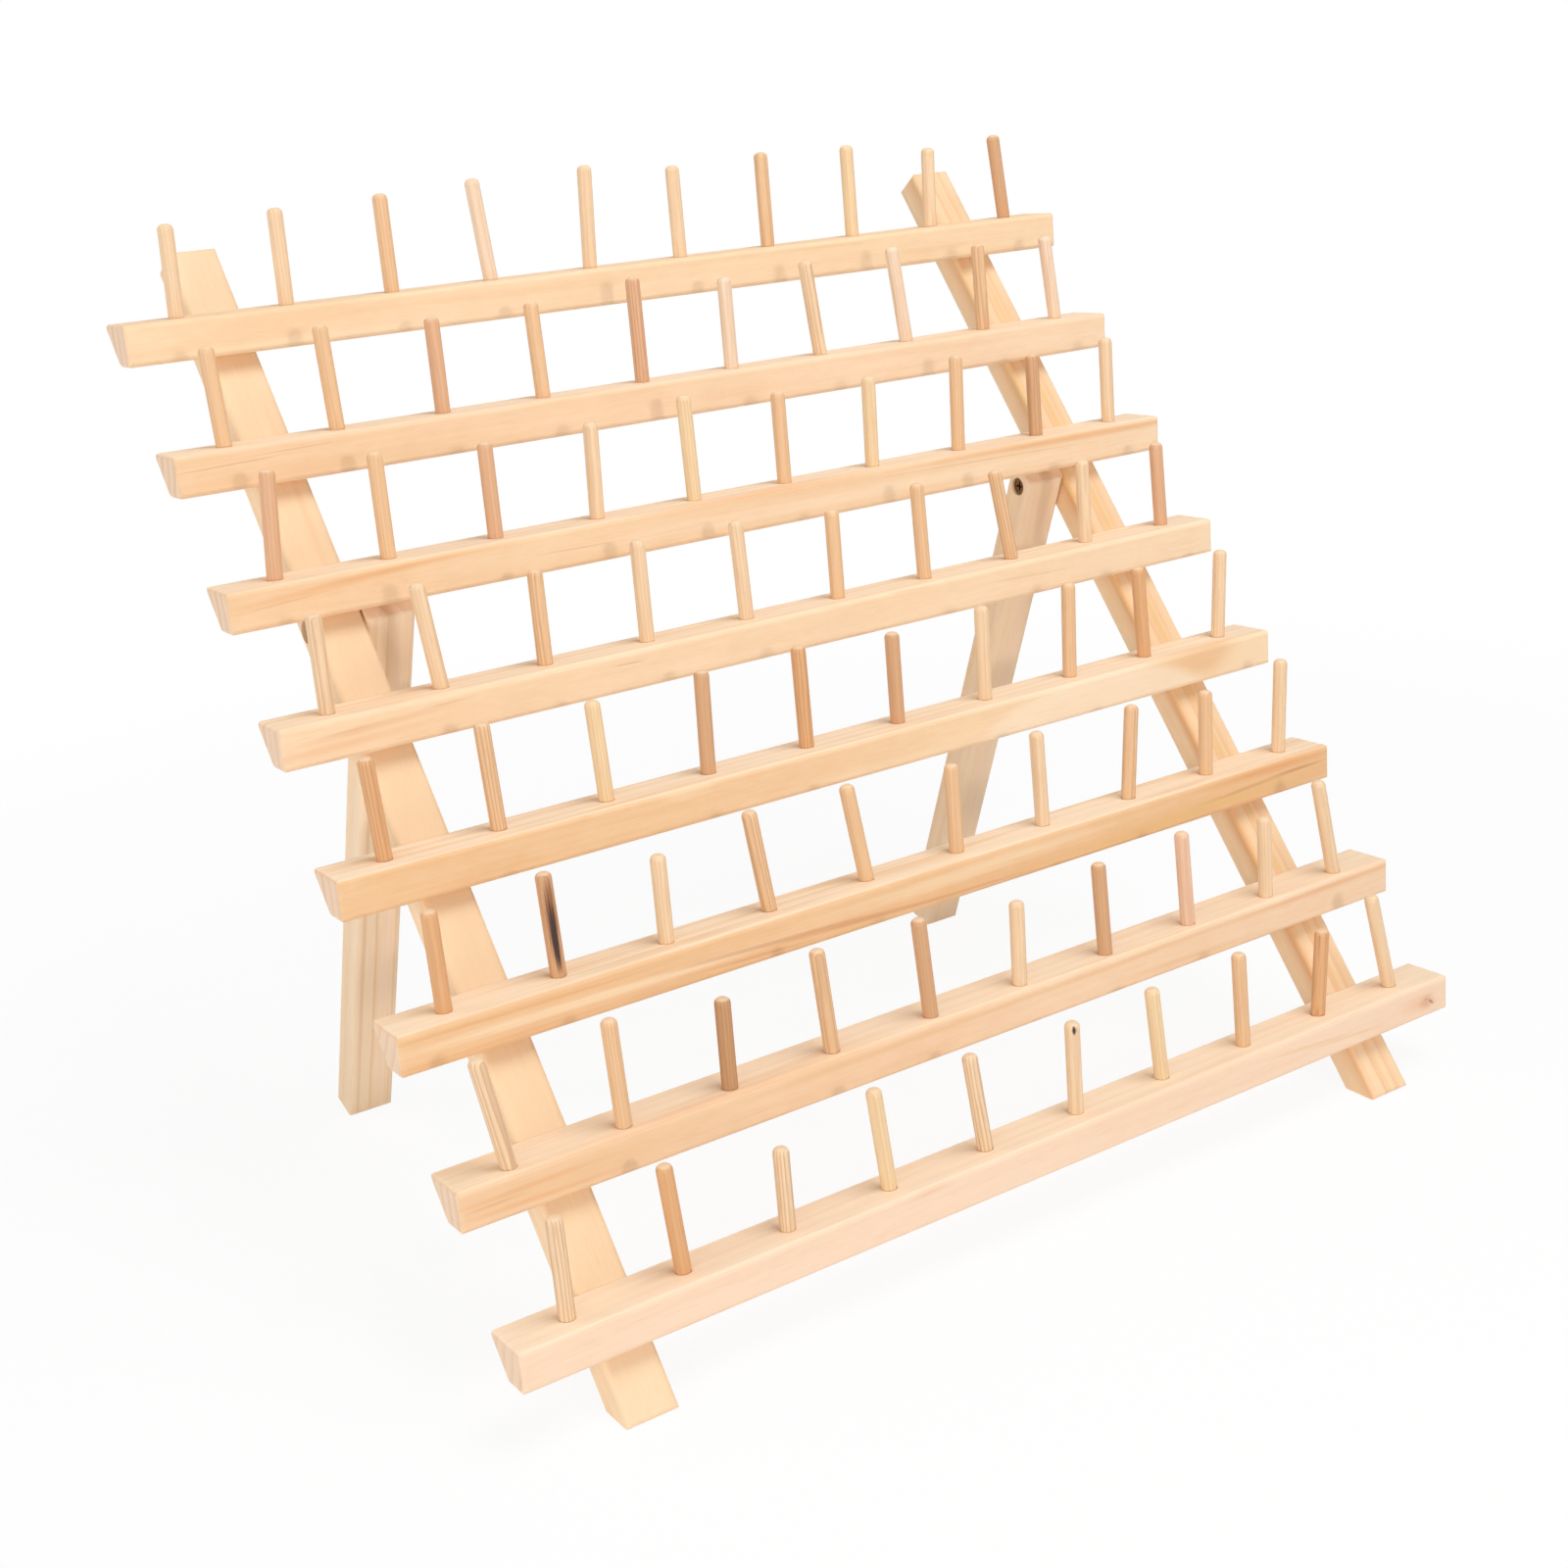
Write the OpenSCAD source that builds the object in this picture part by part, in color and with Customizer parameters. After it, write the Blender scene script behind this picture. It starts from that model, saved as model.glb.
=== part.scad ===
// Folding thread rack: pegged rails on two leaning posts, propped by two hinged rear legs.
// X runs along the rails, Y to the back and Z up. The floor is Z = 0.

/* [Rails] */
// Number of rails, one above the other
rail_count = 8; // [3:1:12]
// Length of a rail
rail_l = 450; // [400:1:600]
// Height of a rail's front face
rail_h = 15.5; // [12:0.5:20]
// Depth of a rail's top face, front to back
rail_d = 21; // [18:0.5:30]
// Distance from one rail to the next, along the posts
rail_pitch = 57; // [45:0.5:80]
// Length of post from the floor to the top of the lowest rail
rail_start = 49; // [40:1:90]
// How far the rails and their pegs lean back, in degrees
rail_tilt = 2; // [0:0.5:10]

/* [Pegs] */
// Number of pegs on a rail
peg_count = 10; // [4:1:12]
// Distance from one peg to the next
peg_pitch = 45; // [34:0.5:50]
// Diameter of the dowel
peg_d = 6; // [4:0.1:8]
// Length of a peg above its rail
peg_stand = 38; // [20:1:60]
// Depth of a peg's hole in the rail
peg_sink = 8; // [5:0.5:9]
// Distance from the rail's front face to the peg's axis
peg_in = 10; // [7:0.5:11]
// Radius of the worn edge round a peg's tip
peg_tip_r = 2.2; // [0.5:0.1:2.5]
// Glue gap all round the shaved end of a peg in its hole
peg_fit = 0.2; // [0.05:0.05:0.3]
// Height of the shaved end that stands out of the hole
peg_seat = 0.2; // [0.1:0.1:1]
// Step in which single pegs and rails stand out of line
uneven_step = 0.5; // [0:0.1:0.8]

/* [Posts] */
// Width of a post, along the rails
post_w = 20.5; // [15:0.5:30]
// Thickness of a post, front to back
post_t = 14.5; // [13:0.5:18]
// Distance between the middles of the two posts
post_spacing = 364; // [280:1:372]
// How far the posts lean back, in degrees
post_lean = 38; // [30:0.5:42]
// Length of post above the top rail
post_above = 29; // [15:1:60]

/* [Rear legs] */
// Width of a leg, along the rails
leg_w = 20.5; // [15:0.5:30]
// Thickness of a leg, front to back
leg_t = 14; // [10:0.5:15]
// How far an open leg leans forward, in degrees
leg_lean = 21; // [15:0.5:28]
// Gap between a leg and its post
leg_gap = 0.4; // [0.2:0.1:1]
// Number of rails from the top down to the one that stops the open legs
stop_rail_count = 3; // [2:1:3]
// Distance from the stopping rail's lower edge down to the pivot, along the post
pivot_drop = 3; // [3:0.5:8]
// Gap between a folded leg and the backs of the rails
fold_gap = 0.75; // [0.3:0.05:1.2]
// Gap between an open leg's top and the rail that stops it
stop_gap = 0.1; // [0.05:0.05:0.5]

/* [Edges] */
// Radius of the long edges of posts and legs
post_ease = 2; // [0.5:0.1:3]
// Radius of the long edges of the rails' front faces
rail_ease = 2; // [0.5:0.1:3]
// Radius of the long edges of the rails' planed backs
rail_back_ease = 0.4; // [0.2:0.1:1]
// Radius of the edges at the sawn ends of all bars
end_ease = 1.5; // [0.5:0.1:2]

/* [Pivot bolts] */
// Diameter of the bolt
bolt_d = 4; // [3:0.5:5]
// Diameter of the bolt's head
bolt_head_d = 7.2; // [6:0.1:8]
// Height of the bolt's head
bolt_head_h = 2.6; // [2:0.1:3]
// Width of the crossed slots in the head
bolt_slot_w = 1; // [0.6:0.1:1.4]
// Depth of the crossed slots in the head
bolt_slot_h = 1.3; // [0.8:0.1:1.6]
// Running gap all round the bolt
bolt_fit = 0.05; // [0.02:0.01:0.09]
// Gap under the bolt's head, so that the leg turns
bolt_head_gap = 0.2; // [0.1:0.1:0.5]
// Gap all round the bolt's head in its recess
bolt_head_fit = 0.4; // [0.2:0.1:0.8]
// Depth of the recess for the head, in the leg
bolt_recess = 4; // [3.5:0.1:6]
// Width of the nut across its flats
nut_w = 7; // [5.5:0.1:8]
// Height of the nut
nut_h = 3.2; // [2.4:0.1:4]
// Gap all round the nut's corners in its recess
nut_fit = 0.4; // [0.2:0.1:0.8]
// Depth of the recess for the nut, in the post
nut_recess = 5; // [4.5:0.1:7]
// Length of bolt past the nut
bolt_past = 1; // [0.2:0.1:1.5]

/* [Rail screws] */
// Diameter of a screw
screw_d = 3; // [2:0.1:4]
// Diameter of a screw's countersunk head
screw_head_d = 6; // [5:0.1:7]
// Height of a screw's countersunk head
screw_head_h = 1.6; // [1.2:0.1:2]
// Length of a screw that enters the rail
screw_bite = 7.5; // [5:0.5:8]
// Length of a screw's point
screw_point = 3; // [2:0.5:4]
// Gap all round a screw in its holes
screw_fit = 0.05; // [0.02:0.01:0.1]
// Width of the crossed slots in a screw's head
screw_slot_w = 0.8; // [0.5:0.1:1]
// Depth of the crossed slots in a screw's head
screw_slot_h = 1; // [0.6:0.1:1.2]
// Least wood left between a screw and a peg
screw_wood = 1; // [0.5:0.1:1.2]

/* [Hidden] */
$fn = 48;
cut = 1; // how far a cutting shape runs past the face that it opens
overlap = 0.002; // how far the disc in a rounded corner stands past the straight sides that it joins

wood = [0.93, 0.76, 0.56];
dowel_wood = [0.85, 0.66, 0.46];
bronze = [0.30, 0.20, 0.14];
zinc = [0.72, 0.72, 0.70];

rail_numbers = [1 : rail_count];
sides = ["left", "right"];

// Angle between a rail's front and its planed back
bevel = post_lean - rail_tilt;
// Length of a rail's planed back, along the post
rail_back = rail_h / cos(bevel);
// Length of a post's front face
post_l = rail_start + rail_pitch * (rail_count - 1) + post_above;
post_x = post_spacing / 2;
peg_first = -peg_pitch * (peg_count - 1) / 2;

// Rails that are fixed a little low or, below zero, high: rail, steps down
low_rails = [[4, -3], [6, 3], [7, 2]];
// Rows of pegs that stand nearer to the rail's front: row, steps forward
forward_rows = [[7, 8]];
function listed(table, i) = let (found = [for (t = table) if (t[0] == i) t[1]])
    len(found) > 0 ? found[0] : 0;

// Place of a rail's top back edge along the post, rail 1 at the top
function rail_s(i) = rail_start + rail_pitch * (rail_count - i) - listed(low_rails, i) * uneven_step;

pivot_s = rail_s(stop_rail_count) - rail_back - pivot_drop;
// Distance from the posts' front face back to the pivot
pivot_in = leg_t / 2 + fold_gap;
// Height of the pivot above the floor, and its distance behind the foot of the posts' front face
pivot_z = pivot_s * cos(post_lean) - pivot_in * sin(post_lean);
pivot_y = pivot_s * sin(post_lean) + pivot_in * cos(post_lean);

// Angle that a leg turns through from open to folded
leg_fold = post_lean + leg_lean;
// Length of a leg below its pivot, so that the rounded front edge of its foot just meets the floor
leg_l = (pivot_z + (end_ease - leg_t / 2) * sin(leg_lean) - end_ease) / cos(leg_lean) + end_ease;
leg_out = post_x - post_w / 2 - leg_gap;

// Front and back of the whole rack, counted from the foot of the posts' front face
front_y = end_ease * (1 + sin(post_lean)) / cos(post_lean) - end_ease;
post_back_y = (post_l - end_ease) * sin(post_lean) + (post_t - end_ease) * cos(post_lean) + end_ease;
leg_back_y = pivot_y + (leg_l - end_ease) * sin(leg_lean) + (leg_t / 2 - end_ease) * cos(leg_lean)
    + end_ease;
middle_y = (front_y + max(post_back_y, leg_back_y)) / 2;

bolt_head_x = leg_out - leg_w + bolt_recess - bolt_head_gap;
nut_x = post_x + post_w / 2 - nut_recess;
nut_corner_d = nut_w / cos(30);

// Pegs that stand out of line: row, peg, lean to the right in degrees, steps up, steps to the right
strays = [
    [1, 1, 2, -7, 3], [1, 2, 1, -3, 1], [1, 4, -5, 5, -2], [1, 5, 3, 7, 1],
    [1, 7, 0, 4, 1], [1, 8, 0, 3, 3], [1, 9, 2, -6, 2], [1, 10, -6.5, 0, 0],
    [2, 1, -2, -2, 1], [2, 2, -2, 3, 1], [2, 3, 0, -2, 0], [2, 4, -1.5, 0, -1], [2, 5, 0, 9, 2],
    [2, 7, -6.5, 5, 2], [2, 8, -7, 8, 6], [2, 9, -1, 0, 4], [2, 10, -6.5, 0, 0],
    [3, 1, 4.5, 4, 0], [3, 2, 0, 4, 0], [3, 3, 0, -2, 0], [3, 4, 2, 0, 0], [3, 5, -1, 9, 1],
    [3, 7, 1.5, 0, 1], [3, 8, 2, 6, 5], [3, 9, -0.5, -4, 4], [3, 10, 0, 0, 1],
    [4, 1, 0, -3, 0], [4, 2, -6.5, 5, 0], [4, 3, 0, -3, -3], [4, 4, 0, 4, -3], [4, 5, -2, 4, 0],
    [4, 6, 0, -3, 0], [4, 7, -1.5, 5, 0], [4, 8, -10, 4, 5], [4, 9, 0, -3, 0], [4, 10, -2.5, -1, 1],
    [5, 1, -3, 0, 0], [5, 2, -2.5, 5, 0], [5, 3, -2.5, 2, 0], [5, 4, 1.5, 5, 0], [5, 5, -0.5, 6, 2],
    [5, 6, 0, -1, 2], [5, 7, 1, 3, 3], [5, 8, 2, 5, 6], [5, 9, -3, 4, 2], [5, 10, 4, 2, 1],
    [6, 1, -1, -1, 0], [6, 2, -2, 3, 0], [6, 3, 0, -8, 0], [6, 4, -7.5, 6, 1], [6, 5, -9, 5, 2],
    [6, 6, 0, -3, 1], [6, 7, -1.5, 4, 1], [6, 8, 5.5, 4, 5], [6, 9, 1.5, -2, 5], [6, 10, 3.5, 7, 3],
    [7, 1, -9.5, 9, 0], [7, 2, -2, 6, 0], [7, 3, 0.5, -6, -2], [7, 4, -4.5, 7, -2], [7, 5, -4, 5, 0],
    [7, 6, 1, -7, -2], [7, 7, -2.5, 2, -3], [7, 8, -3, 5, -2], [7, 9, 0, -6, -2], [7, 10, -11.5, 12, -10],
    [8, 1, -0.5, 0, 2], [8, 2, -4.5, 8, 3], [8, 3, 0, -12, 0], [8, 4, -5.5, 6, 0], [8, 5, -7, 5, 0],
    [8, 7, -5.5, 3, 0], [8, 8, -2, 5, 0], [8, 9, 5, -2, -3], [8, 10, -14, 14, -6]
];
function stray(i, k, field) = let (found = [for (s = strays) if (s[0] == i && s[1] == k) s[field]])
    len(found) > 0 ? found[0] : 0;
function peg_lean(i, k) = stray(i, k, 2);
function peg_up(i, k) = peg_stand + stray(i, k, 3) * uneven_step;
function seat_up(i, k) = peg_seat + peg_d / 2 * sin(abs(peg_lean(i, k)));
function even_x(k) = peg_first + peg_pitch * (k - 1);
function peg_x(i, k) = even_x(k) + stray(i, k, 4) * uneven_step;
function peg_y(i) = peg_in - rail_d - listed(forward_rows, i) * uneven_step;

// A rail's screw stands at the middle of its post, or beside a peg that would be in its way
screw_room = (peg_d + screw_d) / 2 + screw_wood;
function near_peg(x) = max(1, min(peg_count, round((x - peg_first) / peg_pitch) + 1));
function sunk_x(i, k) = peg_x(i, k) - peg_sink / 2 * tan(peg_lean(i, k));
function screw_x(i, x) = let (p = sunk_x(i, near_peg(x)))
    abs(x - p) >= screw_room ? x : p + (x < p ? -screw_room : screw_room);

function side_x(side) = side == "left" ? -post_x : post_x;

// A convex outline with every corner rounded: its straight sides, and a disc in each corner.
// The radius r is one number, or a list with one for each corner.
function unit(v) = v / norm(v);
function to_side(p, n, i, step) = unit(p[(i + step + n) % n] - p[i]);
function half_corner(p, n, i) = acos(to_side(p, n, i, -1) * to_side(p, n, i, 1)) / 2;
function side_end(p, n, i, step, r) = p[i] + to_side(p, n, i, step) * r / tan(half_corner(p, n, i));
function corner_middle(p, n, i, r) =
    p[i] + unit(to_side(p, n, i, -1) + to_side(p, n, i, 1)) * r / sin(half_corner(p, n, i));

function corner_r(r, i) = is_list(r) ? r[i] : r;

module eased_outline(p, r) {
    n = len(p);
    polygon([for (i = [0 : n - 1], step = [-1, 1]) side_end(p, n, i, step, corner_r(r, i))]);
    for (i = [0 : n - 1])
        translate(corner_middle(p, n, i, corner_r(r, i)))
            circle(corner_r(r, i) + overlap);
}

module eased_rectangle(low, high, r) {
    eased_outline([low, [high[0], low[1]], high, [low[0], high[1]]], r);
}

// An outline drawn in Y and Z, as a bar of width w across X
module across(w) {
    translate([-w / 2, 0, 0])
        rotate([90, 0, 90])
            linear_extrude(w)
                children();
}

// An outline drawn in X and Z, as a block from the given Y on, d deep
module through(y, d) {
    translate([0, y + d, 0])
        rotate([90, 0, 0])
            linear_extrude(d)
                children();
}

// Frames of the pieces: each puts the origin at the piece's own reference point
module post_frame() {
    translate([0, -middle_y, 0])
        rotate([-post_lean, 0, 0])
            children();
}

module rail_frame(i) {
    post_frame()
        translate([0, 0, rail_s(i)])
            rotate([bevel, 0, 0])
                children();
}

module peg_frame(i, k) {
    translate([peg_x(i, k), peg_y(i), 0])
        rotate([0, peg_lean(i, k), 0])
            children();
}

module pivot_frame() {
    translate([0, pivot_y - middle_y, pivot_z])
        children();
}

module leg_frame() {
    pivot_frame()
        rotate([leg_lean, 0, 0])
            children();
}

// The screw of one rail in one post, with its axis forward from the back of the post
module screw_frame(i, side) {
    post_frame()
        translate([screw_x(i, side_x(side)), post_t, rail_s(i) - rail_back / 2])
            rotate([90, 0, 0])
                children();
}

module on_side(side) {
    mirror([side == "left" ? 1 : 0, 0, 0])
        children();
}

// Crossed slots, cut down into a head from its top at the origin
module crossed_slots(l, w, h) {
    for (turn = [0, 90])
        rotate(turn)
            translate([-l / 2, -w / 2, -cut])
                cube([l, w, h + cut]);
}

module screw_shape(fit) {
    cylinder(h = screw_head_h, d1 = screw_head_d + 2 * fit, d2 = screw_d + 2 * fit);
    cylinder(h = post_t + screw_bite - screw_point, d = screw_d + 2 * fit);
}

module screw_hole() {
    screw_shape(screw_fit);
    cylinder(h = post_t + screw_bite + screw_fit, d = screw_d + 2 * screw_fit);
    translate([0, 0, -cut])
        cylinder(h = cut, d = screw_head_d + 2 * screw_fit);
}

module post(side) {
    foot_rise = post_t * tan(post_lean);
    color(wood)
        difference() {
            post_frame()
                translate([side_x(side), 0, 0])
                    intersection() {
                        across(post_w)
                            eased_outline([[0, 0], [post_t, foot_rise], [post_t, post_l], [0, post_l]],
                                          end_ease);
                        linear_extrude(post_l)
                            eased_rectangle([-post_w / 2, 0], [post_w / 2, post_t], post_ease);
                        through(0, post_t)
                            eased_rectangle([-post_w / 2, 0], [post_w / 2, post_l], end_ease);
                    }
            for (i = rail_numbers)
                screw_frame(i, side)
                    screw_hole();
            on_side(side)
                pivot_frame()
                    rotate([0, 90, 0]) {
                        cylinder(h = post_spacing, d = bolt_d + 2 * bolt_fit);
                        translate([0, 0, nut_x])
                            cylinder(h = nut_recess + cut, d = nut_corner_d + 2 * nut_fit);
                    }
        }
}

module rail(i) {
    bottom_back = -rail_h * tan(bevel);
    color(wood)
        difference() {
            rail_frame(i)
                intersection() {
                    across(rail_l)
                        eased_outline([[0, 0], [-rail_d, 0], [-rail_d, -rail_h], [bottom_back, -rail_h]],
                                      [rail_back_ease, rail_ease, rail_ease, rail_back_ease]);
                    translate([0, 0, -rail_h])
                        linear_extrude(rail_h)
                            eased_rectangle([-rail_l / 2, -rail_d], [rail_l / 2, 0], end_ease);
                    through(-rail_d, rail_d)
                        eased_rectangle([-rail_l / 2, -rail_h], [rail_l / 2, 0], end_ease);
                }
            rail_frame(i)
                for (k = [1 : peg_count])
                    peg_frame(i, k)
                        translate([0, 0, -peg_sink])
                            cylinder(h = peg_sink + cut, d = peg_d);
            for (side = sides)
                screw_frame(i, side)
                    screw_hole();
        }
}

// A peg from the foot of its hole up, shaved to enter the hole as far as the given height
module peg(shaved, h) {
    r = peg_d / 2;
    tip_x = r - peg_tip_r;
    tip_z = h - peg_tip_r;
    rotate_extrude() {
        polygon([[0, 0], [r - peg_fit, 0], [r - peg_fit, shaved], [r, shaved],
                 [r, tip_z], [tip_x, tip_z], [tip_x, h], [0, h]]);
        translate([tip_x, tip_z])
            intersection() {
                circle(peg_tip_r);
                square(peg_tip_r);
            }
    }
}

module pegs_row(i) {
    color(dowel_wood)
        rail_frame(i)
            for (k = [1 : peg_count])
                peg_frame(i, k)
                    translate([0, 0, -peg_sink])
                        peg(peg_sink + seat_up(i, k), peg_sink + peg_up(i, k));
}

module rear_leg(side) {
    // The top is sawn so that it lies flat against the back of the stopping rail when the leg is open
    reach = pivot_in - stop_gap;
    top_front = (reach - leg_t / 2 * cos(leg_fold)) / sin(leg_fold);
    top_back = (reach + leg_t / 2 * cos(leg_fold)) / sin(leg_fold);
    color(wood)
        on_side(side)
            difference() {
                leg_frame()
                    translate([leg_out - leg_w / 2, 0, 0])
                        intersection() {
                            across(leg_w)
                                eased_outline([[-leg_t / 2, -leg_l], [leg_t / 2, -leg_l],
                                               [leg_t / 2, top_back], [-leg_t / 2, top_front]], end_ease);
                            translate([0, 0, -leg_l])
                                linear_extrude(leg_l + top_back)
                                    eased_rectangle([-leg_w / 2, -leg_t / 2], [leg_w / 2, leg_t / 2],
                                                    post_ease);
                            through(-leg_t / 2, leg_t)
                                eased_rectangle([-leg_w / 2, -leg_l], [leg_w / 2, top_back], end_ease);
                        }
                pivot_frame()
                    rotate([0, 90, 0]) {
                        cylinder(h = post_spacing, d = bolt_d + 2 * bolt_fit);
                        translate([0, 0, leg_out - leg_w - cut])
                            cylinder(h = bolt_recess + cut, d = bolt_head_d + 2 * bolt_head_fit);
                    }
            }
}

module pivot_bolt(side) {
    color(bronze)
        on_side(side)
            pivot_frame()
                translate([bolt_head_x, 0, 0])
                    rotate([0, 90, 0])
                        difference() {
                            union() {
                                cylinder(h = nut_x + nut_h + bolt_past - bolt_head_x, d = bolt_d);
                                translate([0, 0, -bolt_head_h])
                                    cylinder(h = bolt_head_h, d = bolt_head_d);
                            }
                            translate([0, 0, -bolt_head_h])
                                crossed_slots(bolt_d, bolt_slot_w, bolt_slot_h);
                        }
}

module pivot_nut(side) {
    color(bronze)
        on_side(side)
            pivot_frame()
                translate([nut_x, 0, 0])
                    rotate([0, 90, 0])
                        difference() {
                            cylinder(h = nut_h, d = nut_corner_d, $fn = 6);
                            translate([0, 0, -cut])
                                cylinder(h = nut_h + 2 * cut, d = bolt_d + 2 * bolt_fit);
                        }
}

module rail_screws(side) {
    color(zinc)
        for (i = rail_numbers)
            screw_frame(i, side)
                difference() {
                    union() {
                        screw_shape(0);
                        translate([0, 0, post_t + screw_bite - screw_point])
                            cylinder(h = screw_point, d1 = screw_d, d2 = 0);
                    }
                    crossed_slots(screw_d, screw_slot_w, screw_slot_h);
                }
}

for (side = sides) {
    post(side);
    rear_leg(side);
    pivot_bolt(side);
    pivot_nut(side);
    rail_screws(side);
}
for (i = rail_numbers) {
    rail(i);
    pegs_row(i);
}
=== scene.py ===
"""Dresses a thread rack: pine rails, posts and rear legs, dowel pegs, bolts and screws, on a white stage."""

import math

import bpy
from bpy.props import FloatProperty, FloatVectorProperty, PointerProperty
from mathutils import Matrix, Vector


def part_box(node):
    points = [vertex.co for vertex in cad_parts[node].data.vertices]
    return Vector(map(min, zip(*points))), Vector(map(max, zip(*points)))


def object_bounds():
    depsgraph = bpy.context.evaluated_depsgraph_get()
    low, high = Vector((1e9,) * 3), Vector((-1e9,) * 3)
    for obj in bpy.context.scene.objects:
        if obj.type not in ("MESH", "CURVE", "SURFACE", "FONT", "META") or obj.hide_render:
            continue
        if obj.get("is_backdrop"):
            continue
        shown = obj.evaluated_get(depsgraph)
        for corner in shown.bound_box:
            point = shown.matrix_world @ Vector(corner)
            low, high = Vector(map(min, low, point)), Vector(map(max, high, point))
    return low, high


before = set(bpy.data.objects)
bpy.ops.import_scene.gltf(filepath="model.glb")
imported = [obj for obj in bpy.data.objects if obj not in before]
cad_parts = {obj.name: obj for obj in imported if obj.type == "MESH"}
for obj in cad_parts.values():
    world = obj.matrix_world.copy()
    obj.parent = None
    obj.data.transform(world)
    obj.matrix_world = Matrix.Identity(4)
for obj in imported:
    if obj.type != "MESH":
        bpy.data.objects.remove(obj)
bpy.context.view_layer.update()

bl_info = {
    "name": "Thread rack",
    "version": (1, 0, 0),
    "blender": (4, 5, 0),
    "location": "View3D > Sidebar > Thread rack",
    "description": "Gives a pine thread rack its wood, its dowels, its metal and a white stage",
    "category": "Material",
}

MM = 1000  # millimetres in a metre
POST_LEAN = math.radians(38)
LEG_LEAN = math.radians(-21)
HALF_POST = 0.00725  # half the thickness of a post, and nearly that of a leg, in metres
ROWS = 8
PEGS = 10
SIDES = ("left", "right")

# Boards: honey at the left or lower end and at the other, blush, cream on the faces turned up (on posts and
# legs, the faces turned left), partly the wood's own tone and partly painted light, ring lines on the front
# and on the edges, how far the heart of the tree lies behind the front and, on rails, below the top edge or,
# on posts and legs, to the right of the middle (mm), seed.
RAIL_BOARDS = (
    (0.30, 0.32, 0.15, 0.10, 0.14, 0.14, 64, 6, 1.7),
    (0.56, 0.14, 0.50, 0.85, 0.10, 0.12, 72, -10, 5.1),
    (0.58, 0.18, 0.25, 0.85, 0.14, 0.20, 46, 12, 9.4),
    (0.32, 0.00, 0.25, 0.75, 0.12, 0.30, 52, 4, 13.2),
    (0.95, -0.05, 0.10, 1.00, 0.10, 0.26, 58, 8, 17.8),
    (0.78, 0.90, 0.15, 1.00, 0.30, 0.18, 40, -12, 21.5),
    (0.50, 0.14, 0.60, 0.85, 0.12, 0.16, 60, 10, 26.3),
    (0.06, 0.04, 0.95, 1.00, 0.06, 0.16, 66, -8, 30.9),
)
POST_BOARDS = {
    "post_left": (0.14, 0.14, 0.00, 0.00, 0.08, 0.20, 70, 4, 41.3),
    "post_right": (0.20, 0.20, 0.00, 0.00, 0.45, 0.80, 30, 52, 47.9),
}
LEG_BOARDS = {
    "rear_leg_left": (0.00, 0.00, 0.10, 0.00, 0.20, 0.20, 26, 44, 53.6),
    "rear_leg_right": (0.10, 0.10, 0.20, 0.00, 0.14, 0.20, 48, 20, 59.2),
}

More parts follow.
